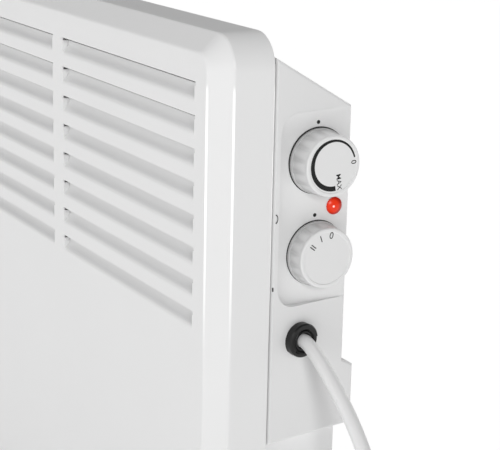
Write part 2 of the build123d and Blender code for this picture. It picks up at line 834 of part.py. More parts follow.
# Mains terminal block on the bulkhead, in the control side
with BuildPart() as terminal_block:
    block_plane = side_plane(bulkhead_x)
    block_y = back(casing_depth - casing_sheet) - terminal_size[1]
    pitch = terminal_size[2] / terminal_ways
    ways = [(block_y, down(terminal_level) + (i - 1) * pitch) for i in range(terminal_ways)]
    with BuildSketch(block_plane):
        with Locations((block_y, down(terminal_level))):
            Rectangle(terminal_size[1], terminal_size[2])
    extrude(amount=terminal_size[0])
    with BuildSketch(side_plane(bulkhead_x + terminal_size[0])):
        with Locations([(y, z + pitch / 2) for y, z in ways[:-1]]):
            Rectangle(terminal_size[1], terminal_groove)
    extrude(amount=-terminal_size[0] / 3, mode=Mode.SUBTRACT)
    with BuildSketch(side_plane(bulkhead_x + terminal_size[0])):
        with Locations(ways):
            Circle(terminal_screw_radius + screw_fit)
    extrude(amount=-terminal_size[0] / 2, mode=Mode.SUBTRACT)
save(terminal_block, "terminal_block")

with BuildPart() as terminal_screws:
    with BuildSketch(side_plane(bulkhead_x + terminal_size[0] / 2)):
        with Locations(ways):
            Circle(terminal_screw_radius)
    extrude(amount=terminal_size[0] / 3)
save(terminal_screws, "terminal_screws")


# Feet: arched plastic bars screwed up into the casing's bottom, on rubber pads
def foot_side():
    """Side outline of a foot, with a step under the casing behind the panel's lip."""
    step_y = lip_y + foot_edge
    half_top = foot_top_length / 2
    Polyline((-foot_length / 2, pad_height), (-foot_length / 2, foot_toe))
    neck_y, neck_z = foot_neck
    top_z = panel_bottom - screw_fit
    Spline((-foot_length / 2, foot_toe), (-neck_y, neck_z), (-half_top, top_z),
           tangents=[(1, 0.15), (1, 1.2)])
    Polyline((-half_top, top_z), (step_y, top_z), (step_y, casing_bottom),
             (back(casing_depth - casing_heel), casing_bottom), (half_top, top_z))
    Spline((half_top, top_z), (neck_y, neck_z), (foot_length / 2, foot_toe),
           tangents=[(1, -1.2), (1, -0.15)])
    Polyline((foot_length / 2, foot_toe), (foot_length / 2, pad_height), (foot_arch / 2, pad_height))
    ThreePointArc((foot_arch / 2, pad_height), (0, pad_height + foot_arch_height), (-foot_arch / 2, pad_height))
    Line((-foot_arch / 2, pad_height), (-foot_length / 2, pad_height))


pad_y = (foot_length - pad_length) / 2 - foot_edge
for name, x in (("foot_left", foot_x[0]), ("foot_right", foot_x[1])):
    with BuildPart() as foot:
        with BuildSketch(side_plane(x - foot_width / 2)):
            with BuildLine():
                foot_side()
            make_face()
        extrude(amount=foot_width)
        long_edges = faces().filter_by(Axis.X)
        chamfer([edge for side in long_edges for edge in side.edges()], foot_edge / 2)
        for y in foot_hole_y:
            with BuildSketch(Plane.XY.offset(casing_bottom)):
                with Locations((x, y)):
                    Circle(foot_screw_radius + screw_fit)
            extrude(amount=-casing_bottom, mode=Mode.SUBTRACT)
            with BuildSketch(Plane.XY.offset(panel_bottom - foot_head_height)):
                with Locations((x, y)):
                    Circle(foot_head_radius + screw_fit)
            extrude(amount=-casing_bottom, mode=Mode.SUBTRACT)
    save(foot, name)

with BuildPart() as foot_pads:
    with BuildSketch(Plane.XY):
        with Locations([(x, i * pad_y) for x in foot_x for i in (-1, 1)]):
            SlotOverall(pad_length, pad_width, rotation=90)
    extrude(amount=pad_height)
save(foot_pads, "foot_pads")

foot_spots = [Plane(origin=(x, y, panel_bottom - foot_head_height), z_dir=(0, 0, -1))
              for x in foot_x for y in foot_hole_y]
pan_screws("foot_screws", foot_spots, foot_head_radius, foot_head_height,
           foot_screw_radius, casing_bottom - panel_bottom + 2 * foot_head_height + casing_sheet)

# Mains cord: from inside the gland down to the floor, a put-away coil and a tail to the plug
cord_start = gland_centre - gland_normal * gland_neck_length
coil_x = right_x + coil_out
tail_z = cord_radius + coil_layer
plug_y = coil_y + 77.5
route = [
    tuple(gland_centre + gland_normal * cord_stub),
    (right_x + 26.0, back(60.2), down(184.5)),
    (right_x + 49.0, back(62.0), down(207.0)),
    (right_x + 71.0, back(64.5), down(242.0)),
    (right_x + 86.0, back(68.0), down(296.0)),
    (right_x + 92.5, back(66.0), down(366.0)),
    (right_x + 95.0, back(76.0), down(419.0)),
    (coil_x, back(102.0), cord_radius),
]
tail = [
    (coil_x, coil_y + 20.0, tail_z),
    (coil_x - 3.5, coil_y + 43.0, tail_z + 1.0),
    (coil_x - 16.0, coil_y + 65.0, tail_z + 3.0),
    (coil_x - 38.0, plug_y, plug_radius),
    (coil_x - 60.0, plug_y, plug_radius),
]


def bend_radii(points):
    """The radius of the arc at each inner point of a route, as large as its two runs allow."""
    radii = []
    for a, b, c in zip(points, points[1:], points[2:]):
        before, after = Vector(*b) - Vector(*a), Vector(*c) - Vector(*b)
        half_turn = math.radians(before.get_angle(after)) / 2
        radii.append(0.45 * min(before.length, after.length) / math.tan(half_turn))
    return radii


def tube(name, points):
    """Round tube along straight runs joined by tangent arcs."""
    radii = bend_radii(points)
    with BuildPart() as cord:
        with BuildLine() as line:
            FilletPolyline(*points, radius=radii)
        path = line.wire()
        with BuildSketch(Plane(origin=path @ 0, z_dir=path % 0)):
            Circle(cord_radius)
        sweep(path=path)
    section = math.pi * cord_radius**2
    print(name, "length", round(path.length, 1), "radii", [round(r, 1) for r in radii],
          "volume share", round(cord.part.volume / (section * path.length), 4))
    save(cord, name)
    return path.length


coil_entry = (coil_x, coil_y - 2 * cord_radius, cord_radius)
free_length = tube("power_cord", [tuple(cord_start), *route, coil_entry])
tail_start = (coil_x, coil_y + 2 * cord_radius, tail_z)
tail_length = tube("cord_tail", [tail_start, *tail])

# Coil: half turns that spiral in on the floor, climb one layer and spiral out again
half_radii = [coil_first_radius - i * coil_pitch / 2 for i in range(coil_half_turns + 1)]
half_radii += half_radii[-2:0:-1]
with BuildPart() as cord_coil:
    with BuildLine() as coil_line:
        end = Vector(coil_x, coil_y, cord_radius)
        Line(coil_entry, end)
        side = -1
        for i, radius in enumerate(half_radii):
            rise = coil_layer if i == coil_half_turns else 0
            start, end = end, end + Vector(2 * side * radius, 0, rise)
            middle = (start + end) / 2 - Vector(0, side * radius, 0)
            ThreePointArc(start, middle, end)
            side = -side
        Line(end, tail_start)
    coil_path = coil_line.wire()
    with BuildSketch(Plane(origin=coil_path @ 0, z_dir=coil_path % 0)):
        Circle(cord_radius)
    sweep(path=coil_path)
save(cord_coil, "cord_coil")

spacing = 2.0
steps = int(coil_path.length / spacing)
samples = [coil_path.position_at(i / steps) for i in range(steps + 1)]
skip = int(4 * cord_radius / spacing)
nearest = min((a - b).length for i, a in enumerate(samples) for b in samples[i + skip:])
print("coil length", round(coil_path.length, 1), "least gap", round(nearest - 2 * cord_radius, 2))
print("cord length", round(free_length + coil_path.length + tail_length, 1))

# Plug: a moulded two-pin body with a tapered relief, lying on the floor
plug_plane = Plane(origin=Vector(*tail[-1]), x_dir=(0, 0, 1), z_dir=(-1, 0, 0))
shoulder_at = plug_relief_length + plug_body_length / 3
disc_at = plug_relief_length + plug_body_length * 2 / 3
face_at = plug_relief_length + plug_body_length
with BuildPart() as plug_body:
    with BuildSketch(plug_plane):
        Circle(cord_radius + plug_relief_wall)
    with BuildSketch(plug_plane.offset(plug_relief_length)):
        Circle(plug_relief_radius)
    loft()
    with BuildSketch(plug_plane.offset(plug_relief_length)):
        Circle(plug_relief_radius)
    with BuildSketch(plug_plane.offset(shoulder_at)):
        RectangleRounded(*plug_shoulder, plug_shoulder_corner)
    with BuildSketch(plug_plane.offset(disc_at)):
        Circle(plug_radius - plug_edge)
    loft()
    with BuildSketch(plug_plane.offset(disc_at)):
        Circle(plug_radius)
    extrude(amount=face_at - disc_at)
    fillet(faces().sort_by(Axis.X)[0].edges(), plug_edge)
    with BuildSketch(plug_plane.offset(face_at)):
        with Locations((0, -pin_spacing / 2), (0, pin_spacing / 2)):
            Circle(pin_radius)
    extrude(amount=-pin_seat, mode=Mode.SUBTRACT)
save(plug_body, "plug_body")

with BuildPart() as plug_pins:
    with BuildSketch(plug_plane.offset(face_at - pin_seat)):
        with Locations((0, -pin_spacing / 2), (0, pin_spacing / 2)):
            Circle(pin_radius)
    extrude(amount=pin_seat + pin_length)
    fillet(faces().sort_by(Axis.X)[0].edges(), pin_radius / 2)
save(plug_pins, "plug_pins")
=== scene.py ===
# %% [markdown]
# Panel convector heater, seen from its control side.
# The CAD model gives the real sizes and the places of all the pieces. This lesson gives them
# their looks: camera, cord, finishes, printed marks, floor and light.
# Lengths are in metres, the front faces -Y and the controls look along +X.

# %% The frame
import json
import math

import bpy
from mathutils import Matrix, Vector


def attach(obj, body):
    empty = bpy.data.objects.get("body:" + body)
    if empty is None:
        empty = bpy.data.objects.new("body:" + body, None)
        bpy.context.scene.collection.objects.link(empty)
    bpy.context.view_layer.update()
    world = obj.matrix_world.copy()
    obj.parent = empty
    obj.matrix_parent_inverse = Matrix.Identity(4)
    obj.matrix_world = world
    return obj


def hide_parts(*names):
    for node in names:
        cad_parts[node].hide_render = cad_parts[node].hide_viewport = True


with open("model.json") as file:
    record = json.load(file)
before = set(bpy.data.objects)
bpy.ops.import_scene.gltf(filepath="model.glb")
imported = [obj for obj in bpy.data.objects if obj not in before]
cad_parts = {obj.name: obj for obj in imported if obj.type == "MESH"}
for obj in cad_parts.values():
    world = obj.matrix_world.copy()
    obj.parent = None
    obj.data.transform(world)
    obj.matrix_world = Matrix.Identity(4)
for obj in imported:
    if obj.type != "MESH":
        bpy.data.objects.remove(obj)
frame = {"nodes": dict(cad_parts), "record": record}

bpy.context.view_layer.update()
print("pieces in the frame:", len(frame["nodes"]))

# %% [markdown]
# The picture's camera comes first, because every later choice is judged through it.
# Its place and its three directions were worked out from the straight edges of the heater.
# A camera looks along its own -Z, so the matrix takes right, up and the reverse of the view.

# %% Camera
MM = 0.001
VIEW = Vector((-0.83210602, 0.48999768, -0.25981118))
RIGHT = Vector((0.50241849, 0.86436794, 0.0210647))
EYE = Vector((971.246, -425.988, 561.192)) * MM

camera = bpy.data.objects.new("camera", bpy.data.cameras.new("camera"))
camera.data.lens = 110.8
camera.data.clip_start = 0.01
bpy.context.collection.objects.link(camera)
turn = Matrix((RIGHT, RIGHT.cross(VIEW), -VIEW)).transposed()
camera.matrix_world = Matrix.Translation(EYE) @ turn.to_4x4()
bpy.context.scene.camera = camera
bpy.context.scene.view_settings.view_transform = "Standard"
print("camera at", [round(value, 3) for value in EYE])

# %% [markdown]
# The sizes below place what this script adds to the CAD pieces.
# A depth runs back from the front face and a level down from the top of the panel,
# so each number can be measured on the object with a ruler.

# %% Sizes
PANEL_RIGHT = 293.7
FRONT = -48.75
TOP = 450.0
KNOB_DEPTH = 68.5
FACE_DISH = 0.35
THERMOSTAT = {"level": 71.6, "face": PANEL_RIGHT + 7.6}
SWITCH = {"level": 123.6, "face": PANEL_RIGHT + 4.5}
COVER_FRONT = {"depth": 37.0, "inset": 1.5}
COVER_REAR = {"depth": 89.5, "inset": 8.2}
RECESS_FLOOR = PANEL_RIGHT - COVER_REAR["inset"]
GLAND = {"depth": 57.4, "level": 171.0}


def spot(x, depth, level):
    """Point in metres from millimetres: x, depth behind the front, level below the top."""
    return Vector((x, FRONT + depth, TOP - level)) * MM


knob_face = spot(THERMOSTAT["face"], KNOB_DEPTH, THERMOSTAT["level"])
print("thermostat knob at", [round(value, 4) for value in knob_face])

# %% [markdown]
# The mains cord is a soft round sheath. A curve with a round bevel is the natural way to make it,
# because the curve stays its centre line and its thickness is one number.
# A spline of order three touches the middles of the runs between its points, so runs of like
# length give soft bends. Where a short run meets a longer one, as just outside the gland, the bend
# tightens towards the short one. The cord leaves the gland, drops to the floor, lies in a put-away
# coil of two layers and ends in a tail with the plug.

# %% Cord route
CORD_RADIUS = 4.0
CORD_INSIDE = 12.0
CORD_STRAIGHT = 8.0
COIL_X = PANEL_RIGHT + 96.0
COIL_Y = 100.0
COIL_RADIUS = 50.0
COIL_HALF_TURNS = 4
COIL_PITCH = 8.6
COIL_LAYER = 8.6
STEPS = 8
PLUG_RADIUS = 18.0
PLUG_Y = COIL_Y + 77.5

taper = (COVER_REAR["inset"] - COVER_FRONT["inset"]) / (COVER_REAR["depth"] - COVER_FRONT["depth"])
gland_normal = Vector((1, taper, 0)).normalized()
gland_x = PANEL_RIGHT - COVER_FRONT["inset"] - (GLAND["depth"] - COVER_FRONT["depth"]) * taper
gland_centre = Vector((gland_x, FRONT + GLAND["depth"], TOP - GLAND["level"]))

drop = [
    gland_centre - gland_normal * CORD_INSIDE,
    gland_centre,
    gland_centre + gland_normal * CORD_STRAIGHT,
    Vector((PANEL_RIGHT + 23.0, FRONT + 60.0, TOP - 184.0)),
    Vector((PANEL_RIGHT + 49.0, FRONT + 62.0, TOP - 207.0)),
    Vector((PANEL_RIGHT + 71.0, FRONT + 64.5, TOP - 242.0)),
    Vector((PANEL_RIGHT + 86.0, FRONT + 68.0, TOP - 296.0)),
    Vector((PANEL_RIGHT + 92.5, FRONT + 66.0, TOP - 366.0)),
    Vector((PANEL_RIGHT + 95.0, FRONT + 76.0, TOP - 419.0)),
    Vector((COIL_X, FRONT + 102.0, CORD_RADIUS)),
    Vector((COIL_X, COIL_Y - 2 * CORD_RADIUS, CORD_RADIUS)),
]
tail_z = CORD_RADIUS + COIL_LAYER
tail = [
    Vector((COIL_X, COIL_Y + 2 * CORD_RADIUS, tail_z)),
    Vector((COIL_X, COIL_Y + 20.0, tail_z)),
    Vector((COIL_X - 3.5, COIL_Y + 43.0, tail_z + 1.0)),
    Vector((COIL_X - 16.0, COIL_Y + 65.0, tail_z + 3.0)),
    Vector((COIL_X - 38.0, PLUG_Y, PLUG_RADIUS)),
    Vector((COIL_X - 60.0, PLUG_Y, PLUG_RADIUS)),
]


def half_turn(start, side, radius, rise):
    """Points of half a turn of the coil, just outside the arc so that the spline lies on it."""
    centre = start + Vector((side * radius, 0, 0))
    reach = radius / math.cos(math.pi / STEPS / 2)
    for step in range(STEPS):
        share = (step + 0.5) / STEPS
        angle = math.pi * share
        across, along = -side * reach * math.cos(angle), -side * reach * math.sin(angle)
        yield centre + Vector((across, along, rise * share))


radii = [COIL_RADIUS - i * COIL_PITCH / 2 for i in range(COIL_HALF_TURNS + 1)]
radii += radii[-2:0:-1]
coil = []
end, side = Vector((COIL_X, COIL_Y, CORD_RADIUS)), -1
for i, radius in enumerate(radii):
    rise = COIL_LAYER if i == COIL_HALF_TURNS else 0.0
    coil += half_turn(end, side, radius, rise)
    end, side = end + Vector((2 * side * radius, 0, rise)), -side
route = [point * MM for point in (*drop, *coil, *tail)]
print("route points:", len(route), "coil half turns:", len(radii))

# %% [markdown]
# The route becomes a NURBS curve. The bevel's depth stays at one and each point carries the real
# radius, because the box that is measured round a curve counts the radius of its points.
# The order and the fixed ends are set once the points exist, because a spline's order can't be
# higher than the number of its points.

# %% Cord curve
curve = bpy.data.curves.new("cord", "CURVE")
curve.dimensions = "3D"
curve.bevel_depth = 1.0
curve.bevel_resolution = 8
curve.resolution_u = 8
curve.use_fill_caps = True
spline = curve.splines.new("NURBS")
spline.points.add(len(route) - 1)
for point, place in zip(spline.points, route):
    point.co = (*place, 1.0)
    point.radius = CORD_RADIUS * MM
spline.order_u = 3
spline.use_endpoint_u = True
cord = bpy.data.objects.new("cord", curve)
bpy.context.collection.objects.link(cord)
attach(cord, "heater")
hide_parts("power_cord", "cord_coil", "cord_tail")

# %% [markdown]
# Finishes are written as Python expressions. A small class holds a socket and overloads the
# operators, so that noise * 0.1 + 0.4 adds the Math nodes by itself. All other nodes come from
# one method, which takes the node's type, its settings and what goes into its sockets.

# %% Shader helpers
class Socket:
    """An output socket that can be used in arithmetic."""

    def __init__(self, finish, socket):
        self.finish = finish
        self.socket = socket

    def math(self, operation, first, second):
        return self.finish.node("ShaderNodeMath", {"operation": operation}, {0: first, 1: second})

    def __add__(self, other):
        return self.math("ADD", self, other)

    def __radd__(self, other):
        return self.math("ADD", other, self)

    def __sub__(self, other):
        return self.math("SUBTRACT", self, other)

    def __rsub__(self, other):
        return self.math("SUBTRACT", other, self)

    def __mul__(self, other):
        return self.math("MULTIPLY", self, other)

    def __rmul__(self, other):
        return self.math("MULTIPLY", other, self)

    def __abs__(self):
        return self.math("ABSOLUTE", self, 0.0)


class Finish:
    """A material with one Principled shader; constants go straight into its sockets."""

    def __init__(self, name, **constants):
        self.material = bpy.data.materials.new(name)
        self.material.use_nodes = True
        self.tree = self.material.node_tree
        self.shader = self.tree.nodes["Principled BSDF"]
        for key, value in constants.items():
            self.feed(self.shader.inputs[key.replace("_", " ").title().replace("Ior", "IOR")], value)

    def feed(self, target, value):
        """Links a socket or sets a plain value."""
        if isinstance(value, Socket):
            self.tree.links.new(value.socket, target)
        else:
            target.default_value = value

    def node(self, kind, settings=None, inputs=None, output=0):
        """Any node: its settings first, then its inputs, and the output that is wanted."""
        made = self.tree.nodes.new(kind)
        for key, value in (settings or {}).items():
            setattr(made, key, value)
        for key, value in (inputs or {}).items():
            self.feed(made.inputs[key], value)
        return Socket(self, made.outputs[output])

    def place(self, stretch=(1.0, 1.0, 1.0)):
        """Coordinates of a point in the object's own space, stretched for a directional grain."""
        where = self.node("ShaderNodeTexCoord", output="Object")
        return self.node("ShaderNodeMapping", inputs={"Vector": where, "Scale": stretch})

    def noise(self, scale, detail=2.0, stretch=(1.0, 1.0, 1.0)):
        """Noise from 0 to 1 with a number of blobs per metre."""
        inputs = {"Vector": self.place(stretch), "Scale": scale, "Detail": detail}
        return self.node("ShaderNodeTexNoise", inputs=inputs)

    def between(self, share, low, high):
        """Colour between two colours."""
        colours = {"Factor": share, 6: low, 7: high}
        return self.node("ShaderNodeMix", {"data_type": "RGBA"}, colours, output=2)

    def xyz(self):
        """The three coordinates of a point in the row frame, in metres."""
        split = self.node("ShaderNodeSeparateXYZ", inputs={"Vector": self.place()})
        return [Socket(self, output) for output in split.socket.node.outputs]

    def ramp(self, value, start, stop):
        """0 before start, 1 after stop, and a smooth step between them."""
        smooth = {"interpolation_type": "SMOOTHSTEP"}
        return self.node("ShaderNodeMapRange", smooth, {0: value, 1: start, 2: stop})

    def bump(self, height, strength, distance):
        """Fine relief of a surface."""
        relief = {"Height": height, "Strength": strength, "Distance": distance}
        made = self.node("ShaderNodeBump", inputs=relief)
        self.feed(self.shader.inputs["Normal"], made)


def grey(level):
    """Neutral colour of one level."""
    return (level, level, level, 1.0)


finishes = {}
print("shader helpers ready")

# %% [markdown]
# The panel, the casing and the control cover have a white powder coat. Sprayed powder melts into
# a skin with a faint orange peel, so a soft noise feeds the bump and shifts the gloss a little.
# A coat with an uneven colour would look dirty, so the colour varies by about one per cent.
# In the picture the panel's long bends catch the light as thin bright lines. The lamps of this
# scene are too soft for that, so three lines of a brighter, faintly glowing white stand in for it.
# They are placed by their depth behind the front and their distance in from the panel's side.

# %% White coats
PANEL_MIDDLE = -3.8
PANEL_HALF = 297.5
BRIGHT_BENDS = [(10.2, 0.8, 0.6, 1.3), (0.6, 1.6, 10.9, 0.7), (0.6, 2.0, 35.1, 0.5)]
BEND_GLOW = 0.24
BEND_WHITE = 0.985
BEND_TOP = (24.0, 32.0)
BEND_FADE = (260.0, 370.0)
BEND_CORE = 0.4


def bright_bends(coat):
    """Share of the bright white: bends are (in from the side, reach, depth, reach) in mm."""
    x, y, z = coat.xyz()
    inset = PANEL_HALF * MM - abs(x - PANEL_MIDDLE * MM)
    depth = y - FRONT * MM
    below_top = coat.ramp(z, (TOP - BEND_TOP[0]) * MM, (TOP - BEND_TOP[1]) * MM)
    long = below_top * coat.ramp(z, BEND_FADE[0] * MM, BEND_FADE[1] * MM)
    total = 0.0
    for side, side_reach, back, back_reach in BRIGHT_BENDS:
        near_side = 1 - coat.ramp(abs(inset - side * MM), BEND_CORE * side_reach * MM, side_reach * MM)
        near_back = 1 - coat.ramp(abs(depth - back * MM), BEND_CORE * back_reach * MM, back_reach * MM)
        total = near_side * near_back + total
    return total * long


def powder_coat(name, level, peel, bends=False):
    """White sprayed coat with a depth of orange peel, and bright bends where they are wanted."""
    coat = Finish(name, specular_ior_level=0.35)
    drift = coat.noise(14.0)
    colour = coat.between(drift, grey(level - 0.012), grey(level + 0.012))
    if bends:
        bright = bright_bends(coat)
        colour = coat.between(bright, colour, grey(BEND_WHITE))
        coat.feed(coat.shader.inputs["Emission Color"], coat.between(bright, grey(0.0), grey(BEND_GLOW)))
        coat.shader.inputs["Emission Strength"].default_value = 1.0
    coat.feed(coat.shader.inputs["Base Color"], colour)
    coat.feed(coat.shader.inputs["Roughness"], 0.30 + 0.10 * coat.noise(45.0))
    coat.bump(coat.noise(900.0, 1.0), 0.12, peel)
    finishes[name] = coat.material


powder_coat("white_enamel", 0.80, 0.00010, bends=True)
powder_coat("cover_enamel", 0.775, 0.00008)
print("coats:", list(finishes))

# %% [markdown]
# Moulded parts take the fine eroded texture of their tool. A dense, sharp noise in the bump gives that
# dull, even skin. The pieces differ only in colour, gloss and depth of grain, so one function with four
# values covers feet, plug, cord, gland and the hidden mouldings.

# %% Mouldings
def moulding(name, level, gloss, grain, density=1600.0):
    """Grey moulded skin with a gloss, a depth of grain and a density of it."""
    skin = Finish(name, specular_ior_level=0.4)
    shade = skin.between(skin.noise(60.0), grey(level * 0.985), grey(level * 1.015))
    skin.feed(skin.shader.inputs["Base Color"], shade)
    skin.feed(skin.shader.inputs["Roughness"], gloss + 0.1 * skin.noise(120.0))
    skin.bump(skin.noise(density, 3.0), 0.25, grain)
    finishes[name] = skin.material


moulding("foot_plastic", 0.74, 0.42, 0.00006)
moulding("plug_plastic", 0.74, 0.38, 0.00005)
moulding("cord_sheath", 0.76, 0.24, 0.00003, 700.0)
moulding("dark_moulding", 0.03, 0.45, 0.00006)
moulding("gland_black", 0.004, 0.30, 0.00003)
moulding("rubber_pad", 0.025, 0.72, 0.00012)
moulding("ceramic", 0.72, 0.55, 0.00006)
print("mouldings:", len(finishes))

# %% [markdown]
# The knobs are moulded in the same white. Their fluted sides get painted shade: they are coloured darker
# than their faces, so the colour changes with the distance from the knob's axis. Both knobs share the
# finish, so the height is first folded about the middle between their axes.

# %% Knob finish
KNOB_SPREAD = (SWITCH["level"] - THERMOSTAT["level"]) / 2
KNOB_MIDDLE = TOP - THERMOSTAT["level"] - KNOB_SPREAD
FACE_ENDS, SIDE_STARTS = 16.7, 17.7

knobs = Finish("knob_plastic", specular_ior_level=0.4)
_, y, z = knobs.xyz()
across = y - (FRONT + KNOB_DEPTH) * MM
up = abs(z - KNOB_MIDDLE * MM) - KNOB_SPREAD * MM
radius = knobs.node("ShaderNodeMath", {"operation": "SQRT"}, {0: across * across + up * up})
side = knobs.ramp(radius, FACE_ENDS * MM, SIDE_STARTS * MM)
# painted shade: the fluted sides take the darker grey
knobs.feed(knobs.shader.inputs["Base Color"], knobs.between(side, grey(0.78), grey(0.56)))
knobs.feed(knobs.shader.inputs["Roughness"], 0.38 + 0.1 * knobs.noise(120.0))
knobs.bump(knobs.noise(1600.0, 3.0), 0.25, 0.00005)
finishes["knob_plastic"] = knobs.material
print("knob axis spread:", KNOB_SPREAD, "mm each way")

# %% [markdown]
# Metal shows how it was worked. Noise that is stretched along one axis turns into fine lines,
# as rolling, drawing or turning leaves them, and it shifts the gloss as well as the relief.

# %% Metals
def metal(name, colour, gloss, stretch):
    """Worked metal whose fine lines run along the axis with the smallest stretch."""
    worked = Finish(name, metallic=1.0)
    lines = worked.noise(700.0, 3.0, stretch)
    dark = tuple(value * 0.88 for value in colour[:3]) + (1.0,)
    worked.feed(worked.shader.inputs["Base Color"], worked.between(lines, dark, colour))
    worked.feed(worked.shader.inputs["Roughness"], gloss + 0.16 * lines)
    worked.bump(lines, 0.15, 0.00004)
    finishes[name] = worked.material


metal("plain_steel", grey(0.56), 0.30, (0.08, 1.0, 1.0))
metal("bright_steel", (0.66, 0.66, 0.64, 1.0), 0.22, (1.0, 1.0, 1.0))
metal("bright_nickel", (0.72, 0.69, 0.64, 1.0), 0.12, (0.1, 1.0, 1.0))
metal("brass", (0.72, 0.53, 0.24, 1.0), 0.24, (1.0, 1.0, 1.0))
metal("element_aluminium", (0.58, 0.58, 0.60, 1.0), 0.38, (0.04, 1.0, 1.0))
print("finishes:", len(finishes))

# %% [markdown]
# The lamp's lens is a clear red moulding over a dull reflector. Its finish carries a faint painted red
# glow. A painted highlight, one small white spot, sits near the middle of the dome, and painted shade
# deepens the colour towards the rim. Both follow the distance from the top of the dome.

# %% Red lens
LENS_PAINTED_GLINT = spot(RECESS_FLOOR + 2.1, 78.5, 97.9)
LENS_RIM = (2.8, 5.2)
GLINT_EDGE = (0.25, 0.85)
DEEP_RED, RIM_SHADE_RED = (0.55, 0.012, 0.004, 1.0), (0.34, 0.006, 0.002, 1.0)

lens = Finish("red_lens", roughness=0.25, specular_ior_level=0.25, emission_strength=1.0)
ends = {0: lens.place(), 1: LENS_PAINTED_GLINT}
away = lens.node("ShaderNodeVectorMath", {"operation": "DISTANCE"}, ends, output="Value")
# painted shade: the red darkens towards the rim
rim = lens.ramp(away, LENS_RIM[0] * MM, LENS_RIM[1] * MM)
# painted highlight: one small white spot near the top of the dome
painted_glint = 1 - lens.ramp(away, GLINT_EDGE[0] * MM, GLINT_EDGE[1] * MM)
lens.feed(lens.shader.inputs["Base Color"], lens.between(rim, DEEP_RED, RIM_SHADE_RED))
# painted red glow, fainter towards the rim
painted_glow = lens.between(rim, (0.32, 0.028, 0.006, 1.0), (0.12, 0.006, 0.002, 1.0))
lens.feed(lens.shader.inputs["Emission Color"], lens.between(painted_glint, painted_glow, (1.0, 0.86, 0.82, 1.0)))
lens.bump(lens.noise(350.0, 1.0), 0.05, 0.00005)
finishes["red_lens"] = lens.material

ink = Finish("ink", specular_ior_level=0.3)
ink.feed(ink.shader.inputs["Roughness"], 0.45 + 0.1 * ink.noise(900.0))
ink.feed(ink.shader.inputs["Base Color"], ink.between(ink.noise(500.0), grey(0.004), grey(0.009)))
print("lens and ink ready")

# %% [markdown]
# Each CAD piece now takes the finish of its slot. Its faces are shaded smooth, and edges that turn
# by more than a set angle stay sharp, so curved walls look round and folded sheet keeps its creases.

# %% Finishes on the pieces
SHARP = math.radians(32.0)
slot_of = {row["node"]: row["material_slot"] for row in frame["record"]["subparts"]}
for name, piece in frame["nodes"].items():
    mesh = piece.data
    mesh.materials.clear()
    mesh.materials.append(finishes[slot_of[name]])
    mesh.shade_smooth()
    mesh.set_sharp_from_angle(angle=SHARP)
curve.materials.append(finishes["cord_sheath"])
print("painted pieces:", len(slot_of))

# %% [markdown]
# The marks on the knobs are printed, so they have no thickness that a finger would feel.
# Thin shapes a few hundredths of a millimetre above the face are simpler than a mask in the
# finish, stay crisp at any picture size and turn with their knob.

# %% Printed shapes
INK_LIFT = 0.03
INK_THICKNESS = 0.02
CAPITAL_SHARE = 0.72
LETTER_WEIGHT = 0.02


def on_face(face_x, level, flat):
    """Points of the face from (right, up) pairs in millimetres about the knob's axis."""
    return [spot(face_x - FACE_DISH + INK_LIFT, KNOB_DEPTH + right, level - up) for right, up in flat]


def printed(name, body, vertices, faces):
    """An object of thin ink from flat faces."""
    mesh = bpy.data.meshes.new(name)
    mesh.from_pydata([tuple(vertex) for vertex in vertices], [], faces)
    mesh.materials.append(ink.material)
    made = bpy.data.objects.new(name, mesh)
    bpy.context.collection.objects.link(made)
    thick = made.modifiers.new("thickness", "SOLIDIFY")
    thick.thickness = INK_THICKNESS * MM
    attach(made, body)


def letters(text, height, centre, angle):
    """Flat faces of a word; its capitals have a height, and it reads along an angle."""
    font = bpy.data.curves.new("letters", "FONT")
    font.body = text
    font.size = height / CAPITAL_SHARE
    font.align_x, font.align_y = "CENTER", "CENTER"
    font.offset = LETTER_WEIGHT
    holder = bpy.data.objects.new("letters", font)
    bpy.context.collection.objects.link(holder)
    mesh = bpy.data.meshes.new_from_object(holder)
    bpy.data.objects.remove(holder)
    across, up = math.cos(angle), math.sin(angle)
    flat = []
    for vertex in mesh.vertices:
        x, y = vertex.co.x, vertex.co.y
        flat.append((centre[0] + x * across - y * up, centre[1] + x * up + y * across))
    return flat, [tuple(polygon.vertices) for polygon in mesh.polygons]


def polar(radius, degrees):
    """A pair (right, up) from a radius and an angle that grows anticlockwise from the right."""
    return radius * math.cos(math.radians(degrees)), radius * math.sin(math.radians(degrees))


print("a capital stands", CAPITAL_SHARE, "of its type size")

# %% [markdown]
# The thermostat knob carries a band that widens anticlockwise from a thin start near the zero to a
# blunt end beside the word for the warmest setting. Its thickness was read off at four angles.

# %% Thermostat marks
BAND_OUTER = 14.3
BAND_WIDTHS = [(14.0, 0.9), (84.0, 1.45), (172.0, 2.4), (278.0, 2.8)]
BAND_RISE = 0.5
BAND_STEP = 3

band, band_faces = [], []
for (start, thin), (stop, thick) in zip(BAND_WIDTHS, BAND_WIDTHS[1:]):
    count = int((stop - start) / BAND_STEP)
    for step in range(count + 1):
        share = step / count
        angle = start + share * (stop - start)
        width = thin + share * (thick - thin)
        for radius in (BAND_OUTER, BAND_OUTER - width):
            right, up = polar(radius, angle)
            band.append((right, up + BAND_RISE))
for i in range(0, len(band) - 2, 2):
    band_faces.append((i, i + 2, i + 3, i + 1))

words = [("0", 3.3, polar(12.9, 5.5), -84.0), ("MAX", 3.0, polar(9.7, -67.0), -82.0)]
flat, faces = list(band), list(band_faces)
for text, height, centre, angle in words:
    more, more_faces = letters(text, height, centre, math.radians(angle))
    faces += [tuple(len(flat) + i for i in face) for face in more_faces]
    flat += more
points = on_face(THERMOSTAT["face"], THERMOSTAT["level"], flat)
printed("thermostat_marks", "thermostat", points, faces)
print("thermostat marks:", len(faces), "faces")

# %% [markdown]
# The mode knob has three printed positions, each turned so that it reads upright when it stands
# under the dot. The same letter function makes them.

